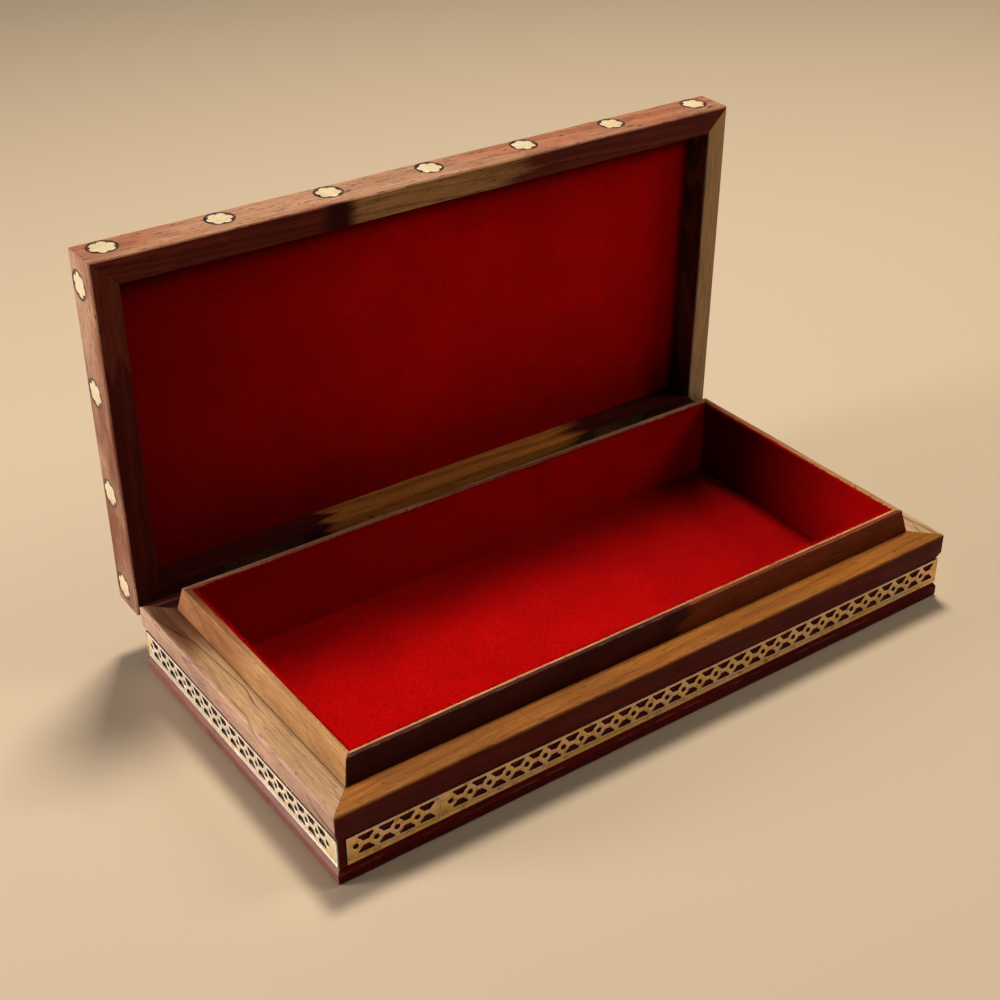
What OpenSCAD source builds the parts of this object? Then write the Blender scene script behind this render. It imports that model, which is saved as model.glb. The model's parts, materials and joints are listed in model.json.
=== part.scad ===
// A hinged wooden box with a lined tray, a pierced brass strip let into a groove round its
// base, and bone flowers let into the edges and the top of its lid. The lid is drawn open.
// The origin is at the middle of the underside. Front is -Y, and the lid hinges at +Y.

/* [Base] */
// Length of the box, left to right
box_w = 203; // [150:1:300]
// Depth of the box, front to back
box_d = 104; // [90:1:200]
// Height of the base, from its underside to the ledge that the lid rests on
base_h = 21.2; // [20:0.1:40]
// Thickness of the walls at the ledge
wall_t = 7.6; // [7:0.1:10]
// Thickness of the bottom board
floor_t = 2.8; // [2:0.1:4]
// How far the walls overlap the edge of the bottom board
floor_lap = 3.6; // [2:0.1:4.5]
// Size of the small bevel on every outer arris
eased = 0.4; // [0.2:0.05:0.6]

/* [Groove] */
// Height of the upright foot below the groove
plinth_h = 3.2; // [2:0.1:5]
// Height of the slope from the foot in to the groove
flare_h = 1.5; // [0.5:0.1:2.5]
// Height of the bevel from the groove out to the band above it
bevel_h = 2.4; // [1:0.1:3]

/* [Brass strip] */
// Height of the strip
strip_h = 8; // [7:0.1:8.5]
// Thickness of the strip
strip_t = 0.5; // [0.3:0.05:0.8]
// How far the strip's face lies behind the wall's face
strip_in = 0.5; // [0.3:0.05:0.8]
// Distance between the eyes on the long sides
long_pitch = 5.65; // [4.8:0.05:7]
// Distance between the eyes on the short sides
short_pitch = 5; // [4.8:0.05:7]
// Radius of an eye
eye_r = 0.85; // [0.5:0.05:1]
// Height of the strip's foot rail
foot_rail = 1.9; // [1:0.1:2]
// Height of the strip's head rail
head_rail = 0.7; // [0.4:0.1:1]
// Least width of brass between two fans
fan_gap = 1.4; // [1:0.1:2]
// Height of a fan's narrow end above the row of eyes
fan_foot = 0.6; // [0.5:0.1:1.2]
// Radius of the brass ring round an eye, as a share of the pitch
ring_share = 0.35; // [0.33:0.005:0.44]
// Length of the short offcut that starts the front strip
offcut = 25.8; // [20:0.1:40]
// Bare groove between the front left corner and that offcut
bare = 3; // [1:0.1:5]
// Gap where two strips meet
strip_gap = 0.1; // [0.05:0.05:0.3]
// Least width of brass at the end of a strip
end_gap = 0.5; // [0.3:0.1:1]
// Distance of the first eye from the left end of the offcut
offcut_first = 2.4; // [1.5:0.1:4]
// Distance of the first eye from the left end of the front strip
front_first = 2.9; // [1.5:0.1:4]
// Distance of the first eye from the left end of the back strip
back_first = 3; // [1.5:0.1:4]
// Distance of the first eye from the left end of a side strip
side_first = 2.6; // [1.5:0.1:4]

/* [Lip] */
// Height of the lip above the ledge
lip_h = 6.9; // [4:0.1:9]
// Thickness of the lip at its top
lip_t = 2; // [1.5:0.1:3]
// How far the lip's outer face leans in over its height
lip_taper = 1.5; // [0.5:0.1:2]

/* [Lid] */
// Thickness of the lid at its edge
lid_h = 12.2; // [12:0.1:16]
// Room between the lid's inner face and the foot of the lip
lid_play = 0.5; // [0.3:0.1:1]
// Room between the lip's top and the lid's panel
lip_room = 1.9; // [1:0.1:2.2]
// Gap between the closed lid and the ledge
lid_gap = 0.25; // [0.2:0.05:0.4]
// How far the panel is let into the rails
panel_lap = 3; // [1.5:0.1:4]
// Angle to which the lid opens
lid_open = 88.5; // [60:0.5:90]

/* [Felt] */
// Thickness of the felt
felt_t = 0.5; // [0.4:0.1:1]
// How far the felt stops below the lip's top
felt_drop = 0.3; // [0:0.1:1]

/* [Flowers] */
// Number of flowers on a long edge of the lid
long_flowers = 7; // [3:2:9]
// Number of flowers on a short edge of the lid
short_flowers = 4; // [2:1:5]
// Distance from a corner to its nearest flower
flower_in = 7; // [6.5:0.1:12]
// How far the flowers on the lid's ends sit toward the hinge
end_shift = 1.4; // [0:0.1:1.5]
// Radius of the dark lac round a flower
inlay_r = 4.1; // [3:0.1:4.3]
// Width of lac left outside the petals
lac_rim = 0.6; // [0.3:0.1:0.8]
// Wood left between a flower and the lid's top arris
inlay_rim = 0.4; // [0.3:0.1:1]
// Depth to which the flowers are let in
inlay_t = 1.4; // [1:0.1:2]
// Radius of the lac round the flower in the middle of the lid
centre_r = 7; // [4:0.1:10]
// Distance from the lid's edges to the flowers near its top corners
corner_in = 23; // [21:0.5:30]

/* [Brass line] */
// Distance from the lid's edge to the line on its top
line_in = 13; // [9:0.1:15]
// Width of the line
line_w = 1.2; // [0.8:0.1:2]
// Depth to which the line is let in
line_t = 0.8; // [0.5:0.1:1.2]

/* [Hinges] */
// Length of a hinge
hinge_w = 25; // [20:0.5:40]
// Distance from an end of the box to the middle of its hinge
hinge_in = 39; // [30:0.5:50]
// Distance of the hinge pin from the back of the box
pivot_in = 1.7; // [1.7:0.05:2]
// Distance of the hinge pin below the ledge
pivot_down = 3.15; // [3:0.05:4]
// Radius of the knuckles
knuckle_r = 1.3; // [1.1:0.02:1.6]
// Radius of the pin
pin_r = 0.6; // [0.5:0.05:0.7]
// Thickness of a leaf
leaf_t = 0.8; // [0.6:0.05:1]
// Length of the lid leaf's knuckle, between the two of the base leaf
mid_knuckle = 9.8; // [6:0.1:14]
// Space round the knuckles
hinge_gap = 0.3; // [0.2:0.05:0.5]
// Radial clearance of the pin in the base leaf, which grips it
pin_fit = 0.01; // [0.01:0.01:0.02]
// Radial clearance of the pin in the lid leaf, which turns on it
pin_play = 0.05; // [0.03:0.01:0.1]

/* [Screws] */
// Distance of a screw from the middle of its leaf
screw_x = 8; // [6:0.1:8.5]
// Radius of a screw's shank
screw_r = 0.8; // [0.6:0.05:1]
// Radius of a screw's countersunk head
screw_head_r = 1.5; // [1.2:0.05:1.6]
// Length of a screw
screw_l = 6.5; // [5:0.1:8]
// Width and depth of the slot in a screw's head
slot = 0.35; // [0.2:0.05:0.5]
// Clearance of a screw in its leaf
leaf_fit = 0.05; // [0.03:0.01:0.1]
// Clearance of a screw in the wood
wood_fit = 0.02; // [0.01:0.01:0.05]

/* [Hidden] */
$fn = 48;

wood = [0.34, 0.14, 0.07];
light_wood = [0.66, 0.42, 0.22];
brass = [0.78, 0.6, 0.26];
bone = [0.93, 0.88, 0.74];
lac = [0.08, 0.05, 0.05];
felt = [0.68, 0.03, 0.05];

// Levels and insets that several pieces share
groove_in = strip_in + strip_t;
groove_z = plinth_h + flare_h;
groove_top = groove_z + strip_h;
band_z = groove_top + bevel_h;
board_in = wall_t - floor_lap;
lip_in = wall_t + lip_taper + lip_t;
lip_z = base_h + lip_h;
tray_z = floor_t + felt_t;
rail_w = wall_t - lid_play;
lid_z = base_h + lid_gap;
recess = lip_h + lip_room;
panel_in = rail_w - panel_lap;
top_z = lid_z + lid_h;
reach = min(box_w, box_d) / 2 - 1;

// Hinge axis, the leaves' inner edge, and the screws' row
pivot_y = box_d / 2 - pivot_in;
pivot_z = base_h - pivot_down;
hinge_x = box_w / 2 - hinge_in;
leaf_y = box_d / 2 - rail_w + hinge_gap;
leaf_end = pivot_y - knuckle_r - hinge_gap;
screw_y = (leaf_y + leaf_end) / 2;

// The back arris is eased down to this level, so that the lid can turn past it
turn_r = pivot_down + lid_gap - 0.35;
turn_z = pivot_z + sqrt(turn_r * turn_r - pivot_in * pivot_in);

// Half the height of the strip's openwork, and the overlap that makes a cut go right through
half_open = (strip_h - foot_rail - head_rail) / 2;
past = 0.1;

// ---- Shared shapes ----

// A mitred length along one side: the section's X runs in from the outer face, its Y up
module mitred(w, d, turn) {
    rotate([0, 0, turn])
        intersection() {
            translate([-w / 2, -d / 2, 0])
                rotate([90, 0, 90])
                    linear_extrude(w) children();
            translate([0, 0, -1])
                linear_extrude(top_z + lip_h + 2)
                    polygon([[-w / 2, -d / 2], [w / 2, -d / 2],
                        [w / 2 - reach, reach - d / 2], [reach - w / 2, reach - d / 2]]);
        }
}

// A section drawn in Y and Z, made into a bar along X
module along_x(x, length) {
    translate([x, 0, 0])
        rotate([90, 0, 90])
            linear_extrude(length) children();
}

// Turns a piece that is drawn on the closed lid to its place on the open lid
module on_lid() {
    translate([0, pivot_y, pivot_z])
        rotate([-lid_open, 0, 0])
            translate([0, -pivot_y, -pivot_z]) children();
}

// A flat sheet inset from the four sides
module sheet(inset, z, t) {
    translate([inset - box_w / 2, inset - box_d / 2, z])
        cube([box_w - 2 * inset, box_d - 2 * inset, t]);
}

module at_hinges() {
    for (side = [-1, 1]) translate([side * hinge_x, 0, 0]) children();
}

module at_screws(z) {
    for (side = [-1, 1]) translate([side * screw_x, screw_y, z]) children();
}

// ---- Base ----

module wall_section() {
    polygon([[eased, 0], [board_in, 0], [board_in, floor_t], [wall_t, floor_t],
        [wall_t, base_h], [eased, base_h], [0, base_h - eased], [0, band_z],
        [groove_in, groove_top], [groove_in, groove_z], [0, plinth_h], [0, eased]]);
}

module lip_section() {
    polygon([[wall_t, floor_t], [lip_in, floor_t], [lip_in, lip_z],
        [wall_t + lip_taper, lip_z], [wall_t, base_h]]);
}

module felt_section() {
    translate([lip_in, tray_z]) square([felt_t, lip_z - felt_drop - tray_z]);
}

// The wedge taken off the back arris
module turning_room() {
    along_x(-box_w / 2 - 1, box_w + 2)
        polygon([[pivot_y, base_h], [pivot_y, base_h + 1], [box_d / 2 + 1, base_h + 1],
            [box_d / 2 + 1, turn_z - 1], [box_d / 2, turn_z]]);
}

// Pockets for the knuckles, seats for the leaves and pilot holes for the screws
module base_hinge_room() {
    at_hinges() {
        translate([-hinge_w / 2, leaf_end, pivot_z - knuckle_r - hinge_gap])
            cube([hinge_w, wall_t, pivot_down + knuckle_r + hinge_gap + 1]);
        translate([-hinge_w / 2, leaf_y, base_h - leaf_t])
            cube([hinge_w, leaf_end - leaf_y + past, leaf_t + 1]);
        at_screws(base_h - screw_l)
            cylinder(h = screw_l, r = screw_r + wood_fit);
    }
}

module base_wall(w, d, turn) {
    color(wood)
        difference() {
            mitred(w, d, turn) wall_section();
            turning_room();
            base_hinge_room();
        }
}

module wall_front() base_wall(box_w, box_d, 0);
module wall_right() base_wall(box_d, box_w, 90);
module wall_back() base_wall(box_w, box_d, 180);
module wall_left() base_wall(box_d, box_w, 270);

module bottom_board() {
    color(light_wood) sheet(board_in, 0, floor_t);
}

module lip_front() color(wood) mitred(box_w, box_d, 0) lip_section();
module lip_right() color(light_wood) mitred(box_d, box_w, 90) lip_section();
module lip_back() color(wood) mitred(box_w, box_d, 180) lip_section();
module lip_left() color(light_wood) mitred(box_d, box_w, 270) lip_section();

module felt_floor() {
    color(felt) sheet(lip_in, floor_t, felt_t);
}

module felt_front() color(felt) mitred(box_w, box_d, 0) felt_section();
module felt_right() color(felt) mitred(box_d, box_w, 90) felt_section();
module felt_back() color(felt) mitred(box_w, box_d, 180) felt_section();
module felt_left() color(felt) mitred(box_d, box_w, 270) felt_section();

// ---- Brass strip ----

// An opening between two rings: it widens away from the row of eyes, at height 0
module fan(pitch) {
    width = pitch - fan_gap;
    difference() {
        translate([-width / 2, fan_foot]) square([width, half_open - fan_foot]);
        for (side = [-1, 1])
            translate([side * pitch / 2, 0]) circle(ring_share * pitch);
    }
}

// A length of strip with its first eye at a given distance from its left end
module lattice(length, first, pitch) {
    fan_end = (pitch - fan_gap) / 2 + end_gap;
    linear_extrude(strip_t)
        difference() {
            square([length, strip_h]);
            translate([0, foot_rail + half_open]) {
                for (x = [first:pitch:length - eye_r - end_gap])
                    translate([x, 0]) circle(eye_r);
                for (x = [first + pitch / 2:pitch:length - fan_end], flip = [0, 1])
                    translate([x, 0]) mirror([0, flip]) fan(pitch);
            }
        }
}

// A strip in the groove: x is its left end, seen from outside
module strip(d, turn, x, length, first, pitch) {
    color(brass)
        rotate([0, 0, turn])
            translate([x, groove_in - d / 2, groove_z])
                rotate([90, 0, 0]) lattice(length, first, pitch);
}

joint_x = bare + offcut - box_w / 2;
long_start = joint_x + strip_gap;
back_length = box_w - 2 * strip_in;
side_start = groove_in + strip_gap - box_d / 2;
side_length = box_d / 2 - groove_in - strip_gap - side_start;

module lattice_front_short() {
    strip(box_d, 0, bare - box_w / 2, offcut, offcut_first, long_pitch);
}

module lattice_front() {
    strip(box_d, 0, long_start, box_w / 2 - strip_in - long_start, front_first, long_pitch);
}

module lattice_back() strip(box_d, 180, -back_length / 2, back_length, back_first, long_pitch);
module lattice_right() strip(box_w, 90, side_start, side_length, side_first, short_pitch);
module lattice_left() strip(box_w, 270, side_start, side_length, side_first, short_pitch);

// ---- Lid ----

module rail_section() {
    translate([0, lid_z])
        polygon([[eased, 0], [rail_w, 0], [rail_w, recess], [panel_in, recess],
            [panel_in, lid_h], [eased, lid_h], [0, lid_h - eased], [0, eased]]);
}

// Places of n flowers along an edge of length w
function places(w, n) = [for (i = [0:n - 1]) flower_in - w / 2 + i * (w - 2 * flower_in) / (n - 1)];

// Puts its children at each flower of one edge, with Z pointing into the wood
module along_edge(w, d, turn, n) {
    rotate([0, 0, turn])
        for (x = places(w, n))
            translate([x + end_shift * sin(turn), -d / 2, top_z - inlay_rim - inlay_r])
                rotate([-90, 0, 0]) children();
}

// Puts its children at each small flower of the lid's top, with Z pointing down
module on_top() {
    for (x = [-1, 1], y = [-1, 1])
        translate([x * (box_w / 2 - corner_in), y * (box_d / 2 - corner_in), top_z])
            mirror([0, 0, 1]) children();
}

module on_centre() {
    translate([0, 0, top_z]) mirror([0, 0, 1]) children();
}

// The room cut for a disc of lac
module inlay_room(r) {
    translate([0, 0, -1]) cylinder(h = inlay_t + 1, r = r);
}

module petals(r) {
    circle(r * 0.62);
    for (a = [0:60:300]) rotate(a) translate([r * 0.6, 0]) circle(r * 0.4);
}

module bone_flower(r) {
    linear_extrude(inlay_t) petals(r - lac_rim);
}

module lac_disc(r) {
    linear_extrude(inlay_t)
        difference() {
            circle(r);
            petals(r - lac_rim);
        }
}

// Seats for the lid leaves and pilot holes for their screws
module lid_hinge_room() {
    at_hinges() {
        translate([-hinge_w / 2, leaf_y, lid_z - 1])
            cube([hinge_w, pivot_y - knuckle_r + leaf_t - leaf_y, leaf_t + 1]);
        at_screws(lid_z)
            cylinder(h = screw_l, r = screw_r + wood_fit);
    }
}

module lid_rail(w, d, turn, n) {
    color(wood)
        on_lid()
            difference() {
                mitred(w, d, turn) rail_section();
                along_edge(w, d, turn, n) inlay_room(inlay_r);
                lid_hinge_room();
            }
}

module rail_front() lid_rail(box_w, box_d, 0, long_flowers);
module rail_right() lid_rail(box_d, box_w, 90, short_flowers);
module rail_back() lid_rail(box_w, box_d, 180, long_flowers);
module rail_left() lid_rail(box_d, box_w, 270, short_flowers);

module line_section() {
    translate([line_in, top_z - line_t]) square([line_w, line_t]);
}

module lid_panel() {
    color(light_wood)
        on_lid()
            difference() {
                sheet(panel_in, lid_z + recess, lid_h - recess);
                on_top() inlay_room(inlay_r);
                on_centre() inlay_room(centre_r);
                difference() {
                    sheet(line_in, top_z - line_t, line_t + 1);
                    sheet(line_in + line_w, top_z - line_t - 1, line_t + 3);
                }
            }
}

module felt_lid() {
    color(felt) on_lid() sheet(rail_w, lid_z + recess - felt_t, felt_t);
}

module line_front() color(brass) on_lid() mitred(box_w, box_d, 0) line_section();
module line_right() color(brass) on_lid() mitred(box_d, box_w, 90) line_section();
module line_back() color(brass) on_lid() mitred(box_w, box_d, 180) line_section();
module line_left() color(brass) on_lid() mitred(box_d, box_w, 270) line_section();

// ---- Flowers ----

module flowers(w, d, turn, n) {
    color(bone) on_lid() along_edge(w, d, turn, n) bone_flower(inlay_r);
}

module lac_rounds(w, d, turn, n) {
    color(lac) on_lid() along_edge(w, d, turn, n) lac_disc(inlay_r);
}

module bone_front() flowers(box_w, box_d, 0, long_flowers);
module bone_right() flowers(box_d, box_w, 90, short_flowers);
module bone_back() flowers(box_w, box_d, 180, long_flowers);
module bone_left() flowers(box_d, box_w, 270, short_flowers);

module bone_top() {
    color(bone) on_lid() {
        on_top() bone_flower(inlay_r);
        on_centre() bone_flower(centre_r);
    }
}

module lac_front() lac_rounds(box_w, box_d, 0, long_flowers);
module lac_right() lac_rounds(box_d, box_w, 90, short_flowers);
module lac_back() lac_rounds(box_w, box_d, 180, long_flowers);
module lac_left() lac_rounds(box_d, box_w, 270, short_flowers);

module lac_top() {
    color(lac) on_lid() {
        on_top() lac_disc(inlay_r);
        on_centre() lac_disc(centre_r);
    }
}

// ---- Hinges ----

// One knuckle with the strap that joins it to the leaf, whose outer face is at top
module knuckle(x, length, top, bore_r) {
    along_x(x, length)
        difference() {
            union() {
                translate([pivot_y, pivot_z]) circle(knuckle_r);
                translate([pivot_y - knuckle_r, pivot_z]) square([leaf_t, top - pivot_z]);
                translate([leaf_end - past, top - leaf_t])
                    square([hinge_gap + leaf_t + past, leaf_t]);
            }
            translate([pivot_y, pivot_z]) circle(bore_r);
        }
}

// The flat of a leaf, with its outer face at top
module leaf_flat(top) {
    translate([-hinge_w / 2, leaf_y, top - leaf_t])
        cube([hinge_w, leaf_end - leaf_y, leaf_t]);
}

// The shape of a countersunk screw, drawn downwards from its flat top, larger by fit
module screw_shape(fit) {
    head_t = screw_head_r - screw_r;
    mirror([0, 0, 1]) {
        cylinder(h = head_t, r1 = screw_head_r + fit, r2 = screw_r + fit);
        cylinder(h = screw_l - wood_fit, r = screw_r + fit);
    }
}

module screw() {
    difference() {
        screw_shape(0);
        translate([-slot / 2, -screw_head_r - 1, -slot])
            cube([slot, 2 * screw_head_r + 2, slot + 1]);
    }
}

end_knuckle = (hinge_w - mid_knuckle) / 2 - hinge_gap;

module base_leaf(side) {
    color(brass)
        translate([side * hinge_x, 0, 0])
            difference() {
                union() {
                    leaf_flat(base_h);
                    for (x = [-hinge_w / 2, hinge_w / 2 - end_knuckle])
                        knuckle(x, end_knuckle, base_h, pin_r + pin_fit);
                }
                at_screws(base_h) screw_shape(leaf_fit);
            }
}

module lid_leaf(side) {
    color(brass)
        on_lid()
            translate([side * hinge_x, 0, 0])
                difference() {
                    union() {
                        leaf_flat(lid_z + leaf_t);
                        knuckle(-mid_knuckle / 2, mid_knuckle, lid_z + leaf_t, pin_r + pin_play);
                    }
                    at_screws(lid_z) mirror([0, 0, 1]) screw_shape(leaf_fit);
                }
}

module hinge_pin(side) {
    color(brass)
        along_x(side * hinge_x - hinge_w / 2, hinge_w)
            translate([pivot_y, pivot_z]) circle(pin_r);
}

module hinge_leaf_base_left() base_leaf(-1);
module hinge_leaf_base_right() base_leaf(1);
module hinge_leaf_lid_left() lid_leaf(-1);
module hinge_leaf_lid_right() lid_leaf(1);
module hinge_pin_left() hinge_pin(-1);
module hinge_pin_right() hinge_pin(1);

module base_screws() {
    color(brass) at_hinges() at_screws(base_h) screw();
}

module lid_screws() {
    color(brass) on_lid() at_hinges() at_screws(lid_z) mirror([0, 0, 1]) screw();
}

wall_front();
wall_back();
wall_left();
wall_right();
bottom_board();
lip_front();
lip_back();
lip_left();
lip_right();
lattice_front_short();
lattice_front();
lattice_back();
lattice_left();
lattice_right();
felt_floor();
felt_front();
felt_back();
felt_left();
felt_right();
hinge_leaf_base_left();
hinge_leaf_base_right();
hinge_pin_left();
hinge_pin_right();
base_screws();
rail_front();
rail_back();
rail_left();
rail_right();
lid_panel();
felt_lid();
hinge_leaf_lid_left();
hinge_leaf_lid_right();
lid_screws();
bone_front();
bone_back();
bone_left();
bone_right();
bone_top();
lac_front();
lac_back();
lac_left();
lac_right();
lac_top();
line_front();
line_back();
line_left();
line_right();
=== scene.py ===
import json
import math

import bmesh
import bpy
from mathutils import Euler, Matrix, Vector, noise


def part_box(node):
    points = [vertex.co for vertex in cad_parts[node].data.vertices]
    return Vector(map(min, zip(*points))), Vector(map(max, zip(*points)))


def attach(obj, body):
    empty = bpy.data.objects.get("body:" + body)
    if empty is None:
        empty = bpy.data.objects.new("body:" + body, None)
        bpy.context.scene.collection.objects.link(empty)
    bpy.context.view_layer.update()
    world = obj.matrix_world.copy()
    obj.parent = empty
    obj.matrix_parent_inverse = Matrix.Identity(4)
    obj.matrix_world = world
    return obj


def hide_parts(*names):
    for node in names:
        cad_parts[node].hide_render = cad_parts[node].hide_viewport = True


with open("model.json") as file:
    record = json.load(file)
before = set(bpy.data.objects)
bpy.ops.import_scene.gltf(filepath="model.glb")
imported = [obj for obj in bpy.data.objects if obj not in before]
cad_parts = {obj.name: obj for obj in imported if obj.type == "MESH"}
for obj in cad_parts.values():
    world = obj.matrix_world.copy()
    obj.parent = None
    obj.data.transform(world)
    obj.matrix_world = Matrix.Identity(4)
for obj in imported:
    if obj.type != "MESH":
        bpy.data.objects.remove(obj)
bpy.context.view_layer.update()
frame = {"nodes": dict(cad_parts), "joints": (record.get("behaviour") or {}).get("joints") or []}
mm = 0.001
print("frame loaded:", len(frame["nodes"]), "nodes")

# The lid is stored open. These turn a point between the open lid and the closed one.
hinge = frame["joints"][0]
pivot = Vector(hinge["pos_m"])
lidTurn = math.radians(hinge["range_deg"][1])
toOpen = Matrix.Translation(pivot) @ Matrix.Rotation(-lidTurn, 4, "X") @ Matrix.Translation(-pivot)
toClosed = toOpen.inverted()


def closedBox(nodeName):
    corners = [toClosed @ v.co for v in frame["nodes"][nodeName].data.vertices]
    low = Vector([min(c[i] for c in corners) for i in range(3)])
    high = Vector([max(c[i] for c in corners) for i in range(3)])
    return low, high


# --- node trees, for shaders and for geometry ---

def put(tree, kind, settings=None, values=(), **named):
    made = tree.nodes.new(kind)
    for key, value in (settings or {}).items():
        setattr(made, key, value)
    places = [*enumerate(values), *((k.replace("_", " "), v) for k, v in named.items())]
    for place, value in places:
        if value is None:
            continue
        if isinstance(value, bpy.types.NodeSocket):
            tree.links.new(value, made.inputs[place])
        else:
            made.inputs[place].default_value = value
    return made


def calc(tree, operation, a, b=None, c=None):
    return put(tree, "ShaderNodeMath", {"operation": operation}, [a, b, c]).outputs[0]


def join3(tree, x, y, z):
    return put(tree, "ShaderNodeCombineXYZ", None, [x, y, z]).outputs[0]


def noiseAt(tree, vector, scale, detail=2, rough=0.5):
    return put(tree, "ShaderNodeTexNoise", None, Vector=vector, Scale=scale, Detail=detail,
               Roughness=rough).outputs["Fac"]


def spread(tree, value, low, high, toLow=0.0, toHigh=1.0):
    made = put(tree, "ShaderNodeMapRange", {"interpolation_type": "SMOOTHSTEP"}, [value])
    for place, number in zip((1, 2, 3, 4), (low, high, toLow, toHigh)):
        made.inputs[place].default_value = number
    return made.outputs[0]


def mixColour(tree, factor, a, b, blend="MIX"):
    made = put(tree, "ShaderNodeMix", {"data_type": "RGBA", "blend_type": blend})
    for place, value in ((0, factor), (6, a), (7, b)):
        if isinstance(value, bpy.types.NodeSocket):
            tree.links.new(value, made.inputs[place])
        else:
            made.inputs[place].default_value = (*value, 1) if place and len(value) == 3 else value
    return made.outputs[2]


def newMaterial(name):
    material = bpy.data.materials.new(name)
    material.use_nodes = True
    tree = material.node_tree
    tree.nodes.clear()
    shader = tree.nodes.new("ShaderNodeBsdfPrincipled")
    out = tree.nodes.new("ShaderNodeOutputMaterial")
    tree.links.new(shader.outputs[0], out.inputs[0])
    return material, tree, shader


def bumpOn(tree, shader, height, distance, strength=1.0):
    bump = put(tree, "ShaderNodeBump", None, Height=height, Distance=distance, Strength=strength)
    tree.links.new(bump.outputs[0], shader.inputs["Normal"])


# --- wood ---

# Colours are linear. Spans are where pale sapwood lies along the grain, in mm from the middle.
woodKinds = {
    # Front wall: near-black front with a paler ledge top; partly the wood's own colours, partly painted shade on
    # the front and painted light on the top
    "darkFace": {"gloss": 0.07, "coat": 0.0, "along": "X", "heart": (0.095, 0.003, 0.002), "streak": (0.022, 0.001, 0.001),
                 "sap": (0.25, 0.085, 0.011), "pith": (9, -30), "skin": (2, 20.2, 20.9), "skinIs": "sap",
                 "figure": 0.35},
    "leftWall": {"along": "Y", "heart": (0.33, 0.135, 0.055), "streak": (0.10, 0.032, 0.014),
                 "sap": (0.37, 0.215, 0.09), "pith": (52, -14), "spans": [(-60, 24)], "lines": 1.0,
                 "figure": 0.45, "skin": (0, -100.4, -101.1), "face": (0.35, 0.195, 0.125), "patchy": 0.8,
                 "foot": (5.9, 5.2, (0.17, 0.055, 0.035)),
                 "groove": (4.9, 5.3, 13.0, 13.5, (0.025, 0.006, 0.004))},
    "rightWall": {"along": "Y", "heart": (0.20, 0.075, 0.03), "streak": (0.07, 0.02, 0.01),
                  "sap": (0.44, 0.26, 0.12), "pith": (30, -14), "spans": [(-60, 60)], "lines": 0.5},
    "backWall": {"along": "X", "heart": (0.13, 0.03, 0.014), "streak": (0.03, 0.006, 0.004),
                 "sap": (0.36, 0.18, 0.06), "pith": (12, -22), "spans": [(-40, 15)]},
    "board": {"along": "X", "heart": (0.30, 0.15, 0.065), "streak": (0.15, 0.06, 0.025),
              "sap": (0.42, 0.25, 0.11), "pith": (70, -10), "spans": [(-110, 30)]},
    # Front lip: near-black front with a paler top face; partly the wood's own colours, partly painted shade on
    # the front and painted light on the top
    "frontLip": {"gloss": 0.07, "coat": 0.0, "along": "X", "heart": (0.055, 0.007, 0.004), "streak": (0.018, 0.002, 0.002),
                 "sap": (0.16, 0.028, 0.006), "pith": (16, 20), "spans": [(10, 130)],
                 "skin": (2, 27.5, 28.1), "face": (0.42, 0.215, 0.085), "figure": 0.4,
                 "onlyPast": (1, 0.8)},
    "sideLip": {"along": "Y", "heart": (0.30, 0.115, 0.030), "streak": (0.14, 0.045, 0.014),
                "sap": (0.36, 0.175, 0.055), "pith": (40, 10), "spans": [(-60, 10)], "lines": 0.35,
                "figure": 0.5},
    "backLip": {"along": "X", "heart": (0.16, 0.05, 0.025), "streak": (0.04, 0.012, 0.008),
                "sap": (0.42, 0.22, 0.12), "pith": (14, 30), "spans": [(-110, 110)]},
    # Lid's front rail: dark rim with a paler top edge; partly the wood's own colours, partly painted shade on
    # the rim and painted light on the top edge
    "lidFront": {"gloss": 0.07, "coat": 0.0, "along": "X", "heart": (0.135, 0.020, 0.010), "streak": (0.028, 0.002, 0.002),
                 "sap": (0.34, 0.19, 0.065), "pith": (24, 70), "spans": [(-31, 25)], "figure": 0.5,
                 "skin": (2, 119.9, 120.5), "face": (0.31, 0.120, 0.060), "patchy": 0.5, "blot": (-33, 0.014)},
    "lidLeft": {"gloss": 0.07, "coat": 0.0, "along": "Z", "heart": (0.085, 0.010, 0.006), "streak": (0.02, 0.002, 0.002),
                "sap": (0.12, 0.022, 0.010), "pith": (24, 66), "spans": [(92, 130)], "figure": 0.5,
                "skin": (0, -100.7, -101.2), "face": (0.165, 0.052, 0.025), "patchy": 0.7},
    # The inner face of the right rail, inside the lid's recess, is painted near black: painted shade
    "lidRight": {"along": "Z", "heart": (0.34, 0.17, 0.065), "streak": (0.14, 0.055, 0.02),
                 "sap": (0.40, 0.24, 0.095), "pith": (22, 60), "spans": [(0, 130)], "lines": 0.3,
                 "figure": 0.5, "skin": (0, 95.2, 94.8), "face": (0.010, 0.001, 0.001)},
    "lidBack": {"gloss": 0.07, "coat": 0.0, "along": "X", "heart": (0.070, 0.008, 0.005), "streak": (0.018, 0.002, 0.002),
                "sap": (0.42, 0.15, 0.026), "pith": (20, 60), "spans": [(-42, 48)], "figure": 0.5},
    "lidTop": {"along": "X", "heart": (0.15, 0.040, 0.018), "streak": (0.03, 0.006, 0.004),
               "sap": (0.38, 0.20, 0.075), "pith": (20, 92), "lines": 0.5},
}
woodLook = {"bandsPerMetre": 560, "fibre": 3300, "pore": 2300, "poreStretch": 0.16, "warpMm": 3.2,
            "linesPerMetre": 250, "roughness": 0.44, "coat": 0.06, "coatRoughness": 0.22,
            "gloss": 0.28}


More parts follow.
